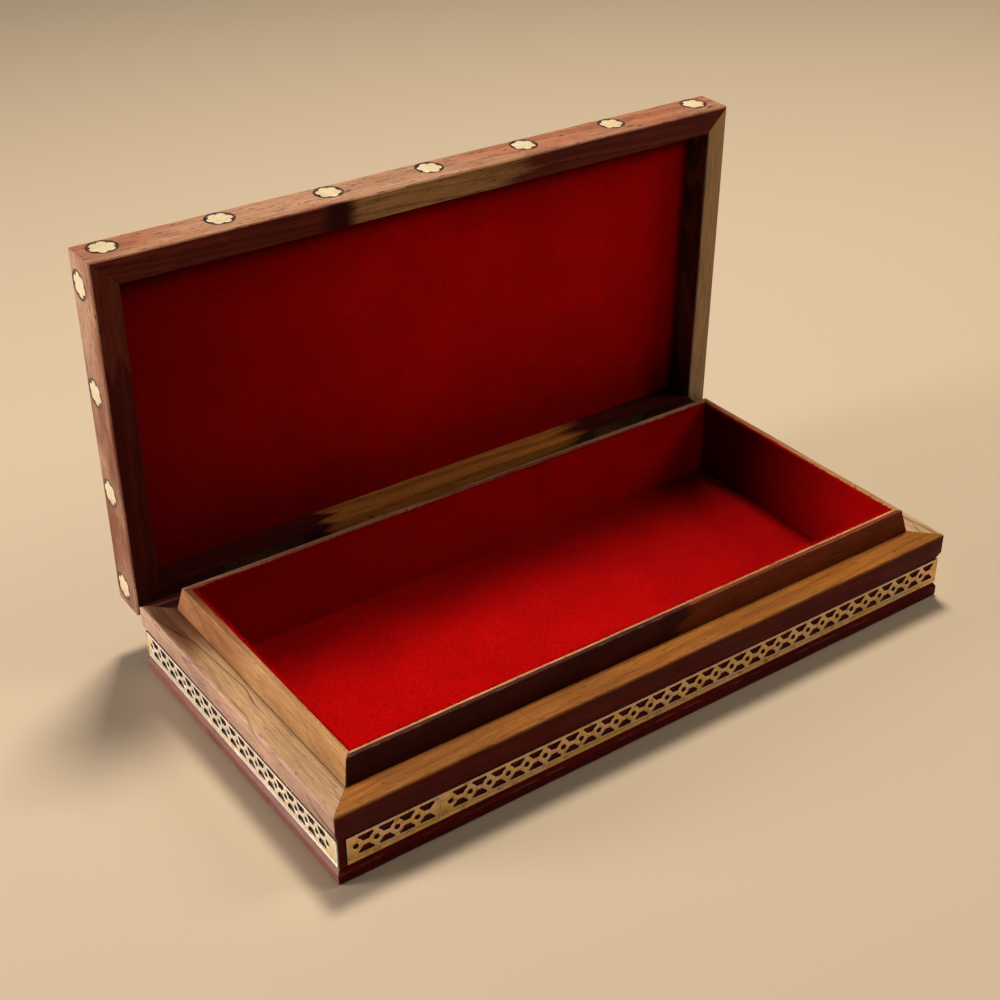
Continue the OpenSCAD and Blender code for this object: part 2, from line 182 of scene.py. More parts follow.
def woodMaterial(name, kind, shift):
    material, tree, shader = newMaterial(name)
    look = woodLook
    place = put(tree, "ShaderNodeTexCoord").outputs["Object"]
    parts = put(tree, "ShaderNodeSeparateXYZ", None, [place])
    order = {"X": (0, 1, 2), "Y": (1, 0, 2), "Z": (2, 0, 1)}[kind["along"]]
    along, a, b = [parts.outputs[i] for i in order]
    moved = calc(tree, "ADD", along, shift)
    slow = join3(tree, calc(tree, "MULTIPLY", moved, 0.35), a, b)
    warp = calc(tree, "MULTIPLY", calc(tree, "SUBTRACT", noiseAt(tree, slow, 42, 2), 0.5),
                look["warpMm"] * 2 * mm)
    pithA, pithB = [p * mm for p in kind["pith"]]
    sideA = calc(tree, "ADD", calc(tree, "SUBTRACT", a, pithA), warp)
    sideB = calc(tree, "SUBTRACT", b, pithB)
    radius = calc(tree, "SQRT", calc(tree, "ADD", calc(tree, "POWER", sideA, 2),
                                     calc(tree, "POWER", sideB, 2)))
    drift = calc(tree, "MULTIPLY", moved, 0.035)
    bandPlace = calc(tree, "MULTIPLY", calc(tree, "ADD", radius, drift), look["bandsPerMetre"])
    bands = put(tree, "ShaderNodeTexNoise", {"noise_dimensions": "1D"}, W=bandPlace, Scale=1,
                Detail=4, Roughness=0.62).outputs["Fac"]
    fibrePlace = join3(tree, calc(tree, "MULTIPLY", moved, 0.035), sideA, sideB)
    fibre = noiseAt(tree, fibrePlace, look["fibre"], 3, 0.6)
    porePlace = join3(tree, calc(tree, "MULTIPLY", moved, look["poreStretch"]), a, b)
    pores = spread(tree, noiseAt(tree, porePlace, look["pore"], 1), 0.66, 0.74)
    figure = noiseAt(tree, slow, 75, 3, 0.6)

    strength = kind.get("figure", 1)
    dark = calc(tree, "MULTIPLY", spread(tree, bands, 0.62, 0.40), strength)
    colour = mixColour(tree, dark, kind["heart"], kind["streak"])
    pale = None
    for low, high in kind.get("spans", []):
        edge = calc(tree, "MULTIPLY", calc(tree, "SUBTRACT", noiseAt(tree, fibrePlace, 300, 3), 0.5), 0.03)
        at = calc(tree, "ADD", along, calc(tree, "ADD", edge, calc(tree, "MULTIPLY", warp, 1.2)))
        rise = spread(tree, at, (low - 2) * mm, (low + 3) * mm)
        fall = spread(tree, at, (high - 6) * mm, (high + 6) * mm, 1, 0)
        pale = calc(tree, "MULTIPLY", rise, fall)
    # A band or face of the piece in another colour: the wood's own colour, and on some kinds partly painted
    # light on a top face or painted shade on a front or inner face
    skin = None
    if "skin" in kind:
        axis, low, high = kind["skin"]
        edge = calc(tree, "MULTIPLY", calc(tree, "SUBTRACT", figure, 0.5), 0.0006)
        skin = spread(tree, calc(tree, "ADD", parts.outputs[axis], edge), low * mm, high * mm)
    if "skinIs" in kind:
        pale = skin
    if pale is not None:
        faint = calc(tree, "MULTIPLY", spread(tree, bands, 0.56, 0.34), strength * 0.8)
        colour = mixColour(tree, pale, colour, mixColour(tree, faint, kind["sap"], kind["heart"]))
    if "onlyPast" in kind:
        axis, inside = kind["onlyPast"]
        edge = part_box("felt_front")[0].y - inside * mm
        skin = calc(tree, "MULTIPLY", skin, spread(tree, parts.outputs[axis], edge - 0.2 * mm, edge))
    if "face" in kind:
        faint = calc(tree, "MULTIPLY", spread(tree, bands, 0.60, 0.36), strength * 0.6)
        face = mixColour(tree, faint, kind["face"], kind["heart"])
        patches = spread(tree, noiseAt(tree, slow, 48, 3, 0.6), 0.38, 0.62, 0, kind.get("patchy", 0))
        face = mixColour(tree, patches, face, (0.44, 0.26, 0.15))
        flecks = spread(tree, noiseAt(tree, porePlace, 1300, 2, 0.7), 0.60, 0.68, 0, 0.75)
        face = mixColour(tree, flecks, face, kind["streak"])
        colour = mixColour(tree, skin, colour, face)
    if "foot" in kind:
        high, low, footColour = kind["foot"]
        colour = mixColour(tree, spread(tree, parts.outputs[2], high * mm, low * mm), colour, footColour)
    if "groove" in kind:
        a0, a1, b0, b1, grooveColour = kind["groove"]
        inGroove = calc(tree, "MULTIPLY", spread(tree, parts.outputs[2], a0 * mm, a1 * mm),
                        spread(tree, parts.outputs[2], b0 * mm, b1 * mm, 1, 0))
        colour = mixColour(tree, inGroove, colour, grooveColour)
    if "blot" in kind:
        centre, reach = kind["blot"]
        away = calc(tree, "ABSOLUTE", calc(tree, "SUBTRACT", along, centre * mm))
        blot = spread(tree, calc(tree, "ADD", away, calc(tree, "MULTIPLY", warp, 1.5)), 0.001, reach * 0.5, 1, 0)
        hidden = calc(tree, "MULTIPLY", blot, calc(tree, "SUBTRACT", 1.0, skin))
        colour = mixColour(tree, hidden, colour, kind["streak"])
    if "lines" in kind:
        # Thin dark growth lines that wander over the pale wood
        wander = calc(tree, "MULTIPLY", calc(tree, "SUBTRACT", noiseAt(tree, slow, 30, 3, 0.55), 0.5), 0.030)
        at = calc(tree, "MULTIPLY", calc(tree, "ADD", radius, wander), look["linesPerMetre"])
        there = calc(tree, "ABSOLUTE", calc(tree, "SUBTRACT", calc(tree, "FRACT", at), 0.5))
        line = calc(tree, "MULTIPLY", spread(tree, there, 0.0, 0.10, 1, 0),
                    spread(tree, noiseAt(tree, slow, 90, 2), 0.34, 0.6, 0, kind["lines"]))
        colour = mixColour(tree, line, colour, kind["streak"])
    lightness = spread(tree, fibre, 0.3, 0.7, 0.72, 1.22)
    mottle = spread(tree, figure, 0.3, 0.7, 0.86, 1.12)
    lightness = calc(tree, "MULTIPLY", lightness, mottle)
    colour = mixColour(tree, 1.0, colour, join3(tree, lightness, lightness, lightness), "MULTIPLY")
    colour = mixColour(tree, calc(tree, "MULTIPLY", pores, 0.6), colour, kind["streak"])
    # Paler arrises: partly wear, partly painted highlight along the edges
    wornAndHighlit = put(tree, "ShaderNodeAttribute", {"attribute_name": "rubbed"}).outputs["Fac"]
    patch = spread(tree, noiseAt(tree, place, 130, 4, 0.7), 0.46, 0.6)
    colour = mixColour(tree, calc(tree, "MULTIPLY", calc(tree, "MULTIPLY", wornAndHighlit, patch), 0.18), colour,
                       (0.36, 0.16, 0.08))
    tree.links.new(colour, shader.inputs["Base Color"])
    smear = spread(tree, noiseAt(tree, place, 60, 3, 0.6), 0.3, 0.7, look["roughness"] - 0.07,
                   look["roughness"] + 0.12)
    tree.links.new(smear, shader.inputs["Roughness"])
    shader.inputs["Coat Weight"].default_value = kind.get("coat", look["coat"])
    shader.inputs["Coat Roughness"].default_value = look["coatRoughness"]
    shader.inputs["Specular IOR Level"].default_value = kind.get("gloss", look["gloss"])
    relief = calc(tree, "SUBTRACT", calc(tree, "MULTIPLY", fibre, 0.5), pores)
    bumpOn(tree, shader, relief, 0.00005, 0.7)
    return material


# --- brass, bone, lac and felt ---

brassLook = {"gold": (0.76, 0.45, 0.10), "pink": (0.80, 0.53, 0.28), "tarnish": (0.26, 0.12, 0.03),
             "roughness": 0.36}


def brassMaterial(name, tarnish, ageingAndHighlight=0.0, ageingAndHighlightColour=(0.055, 0.016, 0.010)):
    material, tree, shader = newMaterial(name)
    place = put(tree, "ShaderNodeTexCoord").outputs["Object"]
    patches = spread(tree, noiseAt(tree, place, 95, 4, 0.65), 0.36, 0.66)
    colour = mixColour(tree, patches, brassLook["gold"], brassLook["pink"])
    dull = spread(tree, noiseAt(tree, place, 430, 5, 0.7), 0.50, 0.68)
    colour = mixColour(tree, calc(tree, "MULTIPLY", dull, tarnish), colour, brassLook["tarnish"])
    # Mixed toward a given colour: ageing on the hinges, painted highlight on the pale strip
    colour = mixColour(tree, ageingAndHighlight, colour, ageingAndHighlightColour)
    tree.links.new(colour, shader.inputs["Base Color"])
    shader.inputs["Metallic"].default_value = 0.9
    scratchPlace = put(tree, "ShaderNodeMapping", None, Vector=place, Scale=(1, 1, 7)).outputs[0]
    scratches = noiseAt(tree, scratchPlace, 2600, 3, 0.7)
    low = brassLook["roughness"] - 0.08
    rough = calc(tree, "ADD", spread(tree, scratches, 0.3, 0.7, low, low + 0.2),
                 calc(tree, "MULTIPLY", dull, 0.2))
    tree.links.new(rough, shader.inputs["Roughness"])
    dents = calc(tree, "ADD", scratches, calc(tree, "MULTIPLY", noiseAt(tree, place, 800, 2), 2))
    bumpOn(tree, shader, dents, 0.00006, 0.8)
    return material


def boneMaterial():
    material, tree, shader = newMaterial("oldBone")
    place = put(tree, "ShaderNodeTexCoord").outputs["Object"]
    tone = spread(tree, noiseAt(tree, place, 160, 3, 0.6), 0.35, 0.65)
    colour = mixColour(tree, tone, (0.62, 0.50, 0.30), (0.50, 0.37, 0.20))
    stretched = put(tree, "ShaderNodeMapping", None, Vector=place, Scale=(1, 0.25, 1)).outputs[0]
    canals = spread(tree, noiseAt(tree, stretched, 5200, 2), 0.62, 0.72)
    colour = mixColour(tree, calc(tree, "MULTIPLY", canals, 0.5), colour, (0.30, 0.18, 0.08))
    stain = spread(tree, noiseAt(tree, place, 520, 4, 0.7), 0.55, 0.75, 0, 0.4)
    colour = mixColour(tree, stain, colour, (0.36, 0.22, 0.10))
    tree.links.new(colour, shader.inputs["Base Color"])
    rough = spread(tree, tone, 0, 1, 0.32, 0.48)
    tree.links.new(rough, shader.inputs["Roughness"])
    shader.inputs["Subsurface Weight"].default_value = 0.08
    shader.inputs["Subsurface Scale"].default_value = 0.001
    bumpOn(tree, shader, canals, -0.00004)
    return material


def lacMaterial():
    material, tree, shader = newMaterial("darkLac")
    place = put(tree, "ShaderNodeTexCoord").outputs["Object"]
    tone = spread(tree, noiseAt(tree, place, 700, 4, 0.7), 0.4, 0.7)
    colour = mixColour(tree, tone, (0.020, 0.005, 0.004), (0.085, 0.022, 0.012))
    tree.links.new(colour, shader.inputs["Base Color"])
    tree.links.new(spread(tree, tone, 0, 1, 0.3, 0.5), shader.inputs["Roughness"])
    bumpOn(tree, shader, noiseAt(tree, place, 2500, 3), 0.00005)
    return material


feltLook = {"red": (0.55, 0.0012, 0.0012), "deep": (0.46, 0.0008, 0.0008), "fluff": (0.80, 0.01, 0.01),
            "sheen": 0.12}
# Painted shade on the felt: each piece darker toward one side or edge, standing for the shadows and dim light
# there; axis, from and to in mm, and what the colour is multiplied by
feltPaintedShade = {
    "felt_floor": [(0, -60, 75, 1.0, 0.62)],
    "felt_right": [(1, 30, -32, 0.10, 0.85)],
    "felt_back": [(0, -85, 60, 0.62, 0.95)],
    "felt_lid": [(0, -92, 10, 0.50, 1.2), (2, 20, 70, 0.72, 1.0), (2, 110.5, 104.5, 0.1, 1.0),
                 (0, 94.2, 90.5, 0.12, 1.0)],
}


def feltMaterial(name, lighter=0.0, paintedShades=()):
    material, tree, shader = newMaterial(name)
    place = put(tree, "ShaderNodeTexCoord").outputs["Object"]
    cloud = spread(tree, noiseAt(tree, place, 55, 4, 0.6), 0.3, 0.7)
    colour = mixColour(tree, cloud, feltLook["deep"], feltLook["red"])
    matted = noiseAt(tree, place, 1900, 4, 0.75)
    lightness = spread(tree, matted, 0.3, 0.7, 0.74 + lighter, 1.22 + lighter)
    colour = mixColour(tree, 1.0, colour, join3(tree, lightness, lightness, lightness), "MULTIPLY")
    parts = put(tree, "ShaderNodeSeparateXYZ", None, [place])
    # Painted shade: the colour is made darker toward one side or edge
    for axis, start, stop, near, far in paintedShades:
        paintedShade = spread(tree, parts.outputs[axis], start * mm, stop * mm, near, far)
        colour = mixColour(tree, 1.0, colour, join3(tree, paintedShade, paintedShade, paintedShade), "MULTIPLY")
    strands = put(tree, "ShaderNodeTexWave", {"wave_type": "BANDS"}, Vector=place, Scale=620,
                  Distortion=26, Detail=3, Detail_Scale=2.2).outputs["Fac"]
    fluff = spread(tree, strands, 0.93, 1.0, 0, 0.15)
    colour = mixColour(tree, fluff, colour, feltLook["fluff"])
    tree.links.new(colour, shader.inputs["Base Color"])
    shader.inputs["Roughness"].default_value = 0.95
    shader.inputs["Specular IOR Level"].default_value = 0.03
    shader.inputs["Sheen Weight"].default_value = feltLook["sheen"]
    shader.inputs["Sheen Roughness"].default_value = 0.5
    shader.inputs["Sheen Tint"].default_value = (0.9, 0.01, 0.01, 1)
    bumpOn(tree, shader, calc(tree, "ADD", matted, strands), 0.00012, 0.9)
    return material


print("materials ready")


# --- meshes ---

def cadCopy(nodeName):
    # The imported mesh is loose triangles: merge them and clear the flat faces' inner edges.
    mesh = bmesh.new()
    mesh.from_mesh(frame["nodes"][nodeName].data)
    bmesh.ops.remove_doubles(mesh, verts=mesh.verts, dist=0.003 * mm)
    bmesh.ops.dissolve_limit(mesh, angle_limit=math.radians(0.4), verts=mesh.verts, edges=mesh.edges)
    return mesh


def easeArrises(mesh, width, segments=3, sharperThan=32):
    # Bevel faces get a mark that the wood paints paler: wear on the arrises and painted highlight along them
    layer = mesh.faces.layers.float.new("rubbed")
    edges = [e for e in mesh.edges if len(e.link_faces) == 2
             and e.calc_face_angle(0) > math.radians(sharperThan)]
    made = bmesh.ops.bevel(mesh, geom=edges, offset=width, offset_type="OFFSET", segments=segments,
                           profile=0.5, affect="EDGES", clamp_overlap=True)
    for face in made["faces"]:
        face[layer] = 1.0


def cutAcross(mesh, axis, step):
    # Loops across the piece at even steps, so that long faces can wander
    low = min(v.co[axis] for v in mesh.verts)
    high = max(v.co[axis] for v in mesh.verts)
    normal = Vector([1.0 if i == axis else 0.0 for i in range(3)])
    for i in range(1, int((high - low) / step)):
        point = normal * (low + i * step)
        geometry = [*mesh.verts, *mesh.edges, *mesh.faces]
        bmesh.ops.bisect_plane(mesh, geom=geometry, plane_co=point, plane_no=normal, dist=0.02 * mm)


def handWorn(mesh, amount, scale, seed):
    # One field for every piece, so that faces that touch still touch
    for v in mesh.verts:
        v.co += noise.noise_vector(v.co * scale + Vector((seed, 0, 0))) * amount


def makeObject(mesh, name, material):
    bmesh.ops.triangulate(mesh, faces=[f for f in mesh.faces if len(f.verts) > 4])
    data = bpy.data.meshes.new(name)
    mesh.to_mesh(data)
    mesh.free()
    data.materials.append(material)
    made = bpy.data.objects.new(name, data)
    bpy.context.scene.collection.objects.link(made)
    return made


def settle(piece, name):
    # The evaluated mesh, with no modifier left on the piece
    evaluated = piece.evaluated_get(bpy.context.evaluated_depsgraph_get())
    data = bpy.data.meshes.new_from_object(evaluated)
    data.name = name
    piece.modifiers.clear()
    piece.data = data
    return piece


def smoothByArea(piece):
    piece.data.shade_smooth()
    weighted = piece.modifiers.new("weighted", "WEIGHTED_NORMAL")
    weighted.weight = 100
    return settle(piece, piece.name)


def handOver(piece, body, replaced=()):
    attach(piece, body)
    if replaced:
        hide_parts(*replaced)
    return piece


# --- wooden parts ---

woodParts = {
    "wall_front": ("darkFace", "base", 0), "wall_back": ("backWall", "base", 0),
    "wall_left": ("leftWall", "base", 1), "wall_right": ("rightWall", "base", 1),
    "bottom_board": ("board", "base", 0),
    "lip_front": ("frontLip", "base", 0), "lip_back": ("backLip", "base", 0),
    "lip_left": ("sideLip", "base", 1), "lip_right": ("sideLip", "base", 1),
    "rail_front": ("lidFront", "lid", 0), "rail_back": ("lidBack", "lid", 0),
    "rail_left": ("lidLeft", "lid", 2), "rail_right": ("lidRight", "lid", 2),
    "lid_panel": ("lidTop", "lid", 0),
}
woodFinish = {"arrisMm": 0.32, "stepMm": 5.0, "wanderMm": 0.09, "wanderScale": 55}


def makeWood():
    for number, (nodeName, (kindName, body, axis)) in enumerate(woodParts.items()):
        mesh = cadCopy(nodeName)
        easeArrises(mesh, woodFinish["arrisMm"] * mm)
        cutAcross(mesh, axis, woodFinish["stepMm"] * mm)
        handWorn(mesh, woodFinish["wanderMm"] * mm, woodFinish["wanderScale"], 3.1)
        material = woodMaterial(f"{kindName}Wood_{nodeName}", woodKinds[kindName], 0.31 * number)
        piece = makeObject(mesh, f"{nodeName}_wood", material)
        smoothByArea(piece)
        handOver(piece, body, [nodeName])


makeWood()
print("wood made")


# --- brass strips: the openings repeat along a rule, so Geometry Nodes make them ---

stripShape = {"heightMm": 8.0, "thickMm": 0.5, "eyeMm": 0.85, "footRailMm": 1.9, "headRailMm": 0.7,
              "fanGapMm": 1.4, "fanFootMm": 0.6, "ringShare": 0.35, "edgeMm": 0.07,
              "scribeMm": (1.0, 0.16), "endGapMm": 0.5, "jogMm": 0.05}
# Each strip: its CAD node, quarter turns from the front, first eye and pitch in mm
strips = {
    "lattice_front_short": (0, 2.4, 5.65), "lattice_front": (0, 2.9, 5.65),
    "lattice_back": (2, 3.0, 5.65), "lattice_left": (3, 2.6, 5.0), "lattice_right": (1, 2.6, 5.0),
}
# The left strip uses a paler copy of the brass: painted highlight for the light it reflects
paleStrips = ("lattice_left",)


def fanOutline(name, pitch):
    # One opening as a closed poly curve: two arcs round the eyes, a flat top and a narrow foot
    shape = stripShape
    half = (shape["heightMm"] - shape["footRailMm"] - shape["headRailMm"]) / 2
    wide = (pitch - shape["fanGapMm"]) / 2
    ring = shape["ringShare"] * pitch
    side = []
    steps = 7
    for i in range(steps + 1):
        y = shape["fanFootMm"] + (half - shape["fanFootMm"]) * i / steps
        reach = math.sqrt(max(ring * ring - y * y, 0))
        side.append((min(pitch / 2 - reach, wide), y))
    points = side + [(-x, y) for x, y in reversed(side)]
    curve = bpy.data.curves.new(name, "CURVE")
    spline = curve.splines.new("POLY")
    spline.points.add(len(points) - 1)
    for point, (x, y) in zip(spline.points, points):
        point.co = (x * mm, y * mm, 0, 1)
    spline.use_cyclic_u = True
    made = bpy.data.objects.new(name, curve)
    bpy.context.scene.collection.objects.link(made)
    return made


def geometryTree(name, inputs):
    tree = bpy.data.node_groups.new(name, "GeometryNodeTree")
    tree.interface.new_socket("Geometry", in_out="INPUT", socket_type="NodeSocketGeometry")
    for label, kind in inputs:
        tree.interface.new_socket(label, in_out="INPUT", socket_type=f"NodeSocket{kind}")
    tree.interface.new_socket("Geometry", in_out="OUTPUT", socket_type="NodeSocketGeometry")
    start = tree.nodes.new("NodeGroupInput")
    end = tree.nodes.new("NodeGroupOutput")
    return tree, start.outputs, end.inputs[0]


def setInputs(modifier, values):
    for item in modifier.node_group.interface.items_tree:
        if item.item_type == "SOCKET" and item.in_out == "INPUT" and item.name in values:
            modifier[item.identifier] = values[item.name]


def closeTree(tree, geometry, material, end):
    real = put(tree, "GeometryNodeRealizeInstances", None, [geometry])
    painted = put(tree, "GeometryNodeSetMaterial", None, Geometry=real.outputs[0], Material=material)
    tree.links.new(painted.outputs[0], end)


def stripTree():
    tree, given, end = geometryTree("piercedStrip", [
        ("Length", "Float"), ("Height", "Float"), ("Thickness", "Float"), ("Pitch", "Float"),
        ("First Eye", "Float"), ("Eye Radius", "Float"), ("Axis Height", "Float"), ("Eyes", "Int"),
        ("Fans", "Int"), ("Fan", "Object"), ("Material", "Material")])
    length, height = given["Length"], given["Height"]
    plate = put(tree, "GeometryNodeCurvePrimitiveQuadrilateral", None, Width=length, Height=height)
    middle = join3(tree, calc(tree, "MULTIPLY", length, 0.5), calc(tree, "MULTIPLY", height, 0.5), 0.0)
    plate = put(tree, "GeometryNodeTransform", None, Geometry=plate.outputs[0], Translation=middle)
    step = join3(tree, given["Pitch"], 0.0, 0.0)
    eye = put(tree, "GeometryNodeCurvePrimitiveCircle", None, Resolution=20, Radius=given["Eye Radius"])
    eyeLine = put(tree, "GeometryNodeMeshLine", None, Count=given["Eyes"], Offset=step,
                  Start_Location=join3(tree, given["First Eye"], given["Axis Height"], 0.0))
    eyes = put(tree, "GeometryNodeInstanceOnPoints", None, Points=eyeLine.outputs[0],
               Instance=eye.outputs[0])
    fan = put(tree, "GeometryNodeObjectInfo", None, Object=given["Fan"])
    half = calc(tree, "MULTIPLY_ADD", given["Pitch"], 0.5, given["First Eye"])
    fanLine = put(tree, "GeometryNodeMeshLine", None, Count=given["Fans"], Offset=step,
                  Start_Location=join3(tree, half, given["Axis Height"], 0.0))
    shapes = [plate.outputs[0], eyes.outputs[0]]
    for turn in (0.0, math.pi):
        fans = put(tree, "GeometryNodeInstanceOnPoints", None, Points=fanLine.outputs[0],
                   Instance=fan.outputs["Geometry"], Rotation=(0, 0, turn))
        shapes.append(fans.outputs[0])
    joined = put(tree, "GeometryNodeJoinGeometry")
    for shape in shapes:
        tree.links.new(shape, joined.inputs[0])
    real = put(tree, "GeometryNodeRealizeInstances", None, [joined.outputs[0]])
    flat = put(tree, "GeometryNodeFillCurve", None, Curve=real.outputs[0])
    deep = put(tree, "GeometryNodeExtrudeMesh", None, Mesh=flat.outputs[0], Individual=False,
               Offset=(0, 0, 1), Offset_Scale=given["Thickness"])
    under = put(tree, "GeometryNodeFlipFaces", None, [flat.outputs[0]])
    both = put(tree, "GeometryNodeJoinGeometry")
    tree.links.new(deep.outputs[0], both.inputs[0])
    tree.links.new(under.outputs[0], both.inputs[0])
    merged = put(tree, "GeometryNodeMergeByDistance", None, Geometry=both.outputs[0], Distance=1e-6)
    closeTree(tree, merged.outputs[0], given["Material"], end)
    return tree


def makeStrips():
    tree = stripTree()
    shape = stripShape
    gilt = brassMaterial("stripBrass", 0.6)
    # A paler copy of the brass: painted highlight
    pale = brassMaterial("paleBrass", 0.2, 0.75, (0.98, 0.86, 0.60))
    fans = {pitch: fanOutline(f"fan_{i}", pitch) for i, pitch in enumerate((5.65, 5.0))}
    axisMm = shape["footRailMm"] + (shape["heightMm"] - shape["footRailMm"] - shape["headRailMm"]) / 2
    for number, (nodeName, (turns, first, pitch)) in enumerate(strips.items()):
        brass = pale if nodeName in paleStrips else gilt
        low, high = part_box(nodeName)
        lengthMm = max(high.x - low.x, high.y - low.y) / mm
        fanEnd = (pitch - shape["fanGapMm"]) / 2 + shape["endGapMm"]
        eyes = int((lengthMm - shape["eyeMm"] - shape["endGapMm"] - first) / pitch + 1e-6) + 1
        fanCount = int((lengthMm - fanEnd - first - pitch / 2) / pitch + 1e-6) + 1
        piece = makeObject(bmesh.new(), f"{nodeName}_brass", brass)
        modifier = piece.modifiers.new("strip", "NODES")
        modifier.node_group = tree
        setInputs(modifier, {
            "Length": lengthMm * mm, "Height": shape["heightMm"] * mm, "Thickness": shape["thickMm"] * mm,
            "Pitch": pitch * mm, "First Eye": first * mm, "Eye Radius": shape["eyeMm"] * mm,
            "Axis Height": axisMm * mm, "Eyes": eyes, "Fans": fanCount, "Fan": fans[pitch],
            "Material": brass})
        settle(piece, piece.name)
        scribeAndEase(piece, brass)
        # Stand the strip up, turn it to its side and push it into its groove
        stand = Matrix.Rotation(math.radians(90), 4, "X")
        turn = Matrix.Rotation(math.radians(90 * turns), 4, "Z")
        piece.data.transform(turn @ stand)
        corners = [v.co for v in piece.data.vertices]
        was = Vector([min(c[i] for c in corners) for i in range(3)])
        piece.data.transform(Matrix.Translation(low - was))
        bendSlightly(piece, number)
        smoothByArea(piece)
        handOver(piece, "base", [nodeName])
    for fan in fans.values():
        bpy.data.objects.remove(fan)


def scribeAndEase(piece, material):
    # A scribed line along the foot rail, then soft stamped edges on the face
    height, width = [n * mm for n in stripShape["scribeMm"]]
    mesh = bmesh.new()
    mesh.from_mesh(piece.data)
    bmesh.ops.remove_doubles(mesh, verts=mesh.verts, dist=0.002 * mm)
    bmesh.ops.dissolve_limit(mesh, angle_limit=math.radians(0.4), verts=mesh.verts, edges=mesh.edges)
    for y in (height - width, height, height + width):
        geometry = [*mesh.verts, *mesh.edges, *mesh.faces]
        bmesh.ops.bisect_plane(mesh, geom=geometry, plane_co=(0, y, 0), plane_no=(0, 1, 0), dist=1e-6)
    face = stripShape["thickMm"] * mm
    edges = [e for e in mesh.edges if len(e.link_faces) == 2 and e.calc_face_angle(0) > math.radians(50)
             and all(v.co.z > face - 1e-5 for v in e.verts)]
    bmesh.ops.bevel(mesh, geom=edges, offset=stripShape["edgeMm"] * mm, offset_type="OFFSET", segments=2,
                    profile=0.5, affect="EDGES", clamp_overlap=True)
    for v in mesh.verts:
        if abs(v.co.y - height) < 1e-5 and v.co.z > face - 1e-5:
            v.co.z -= width
    bmesh.ops.triangulate(mesh, faces=[f for f in mesh.faces if len(f.verts) > 4])
    mesh.to_mesh(piece.data)
    mesh.free()


def bendSlightly(piece, number):
    for v in piece.data.vertices:
        wave = noise.noise(v.co * 70 + Vector((number, 0, 0)))
        v.co.z += wave * stripShape["jogMm"] * mm


makeStrips()
print("brass strips made")


# --- flowers: bone in lac, one row for each edge ---

flowerRows = {
    # Row: quarter turns from the front, how many
    "front": (0, 7), "right": (1, 4), "back": (2, 7), "left": (3, 4),
}
flowerShape = {"bigPetals": 6, "petalPlace": 0.6, "petalRound": 0.4, "heartRound": 0.62,
               "lacRimMm": 0.6, "deepMm": 1.4, "domeMm": 0.12, "sinkMm": 0.05}


def petalEdge(radius, angle):
    # How far the six petals and the middle reach at an angle
    shape = flowerShape
    reach = shape["heartRound"] * radius
    for i in range(shape["bigPetals"]):
        turn = angle - i * 2 * math.pi / shape["bigPetals"]
        c = shape["petalPlace"] * radius
        inside = (shape["petalRound"] * radius) ** 2 - (c * math.sin(turn)) ** 2
        if inside > 0 and math.cos(turn) > 0:
            reach = max(reach, c * math.cos(turn) + math.sqrt(inside))
    # Hand-cut edges wander a little
    return reach * (1 + 0.05 * noise.noise(Vector((math.cos(angle) * 1.7, math.sin(angle) * 1.7, 4.2))))


def ringMesh(levels, around, closedTop):
    # levels are (radius rule, height) from the bottom up
    mesh = bmesh.new()
    loops = []
    for rule, height in levels:
        loop = []
        for i in range(around):
            angle = 2 * math.pi * i / around
            r = rule(angle)
            loop.append(mesh.verts.new((r * math.cos(angle), r * math.sin(angle), height)))
        loops.append(loop)
    for lower, upper in zip(loops, loops[1:]):
        for i in range(around):
            j = (i + 1) % around
            mesh.faces.new((lower[i], lower[j], upper[j], upper[i]))
    if closedTop:
        middle = mesh.verts.new((0, 0, levels[-1][1]))
        bottom = mesh.verts.new((0, 0, levels[0][1]))
        for i in range(around):
            j = (i + 1) % around
            mesh.faces.new((loops[-1][i], loops[-1][j], middle))
            mesh.faces.new((loops[0][j], loops[0][i], bottom))
    else:
        for i in range(around):
            j = (i + 1) % around
            mesh.faces.new((loops[-1][i], loops[-1][j], loops[0][j], loops[0][i]))
    bmesh.ops.recalc_face_normals(mesh, faces=mesh.faces)
    return mesh


def bonePetals(name, radius, material):
    shape = flowerShape
    edge = radius - shape["lacRimMm"] * mm
    deep, dome = shape["deepMm"] * mm, shape["domeMm"] * mm
    levels = [(lambda a: petalEdge(edge, a), -deep), (lambda a: petalEdge(edge, a), -dome)]
    for i in range(1, 5):
        share = 1 - 0.02 * i - 0.17 * max(0, i - 2)
        rise = -dome * (1 - math.sin(i / 4 * math.pi / 2))
        levels.append((lambda a, s=share: petalEdge(edge, a) * s, rise))
    return makeObject(ringMesh(levels, 72, True), name, material)


def lacRing(name, radius, material):
    shape = flowerShape
    edge = radius - shape["lacRimMm"] * mm
    deep, sink = shape["deepMm"] * mm, shape["sinkMm"] * mm
    levels = [(lambda a: radius, -deep), (lambda a: radius, -sink * 0.2), (lambda a: radius - 0.08 * mm, 0),
              (lambda a: (radius + petalEdge(edge, a)) / 2, -sink),
              (lambda a: petalEdge(edge, a) + 0.05 * mm, 0), (lambda a: petalEdge(edge, a), -sink),
              (lambda a: petalEdge(edge, a), -deep)]
    return makeObject(ringMesh(levels, 72, False), name, material)


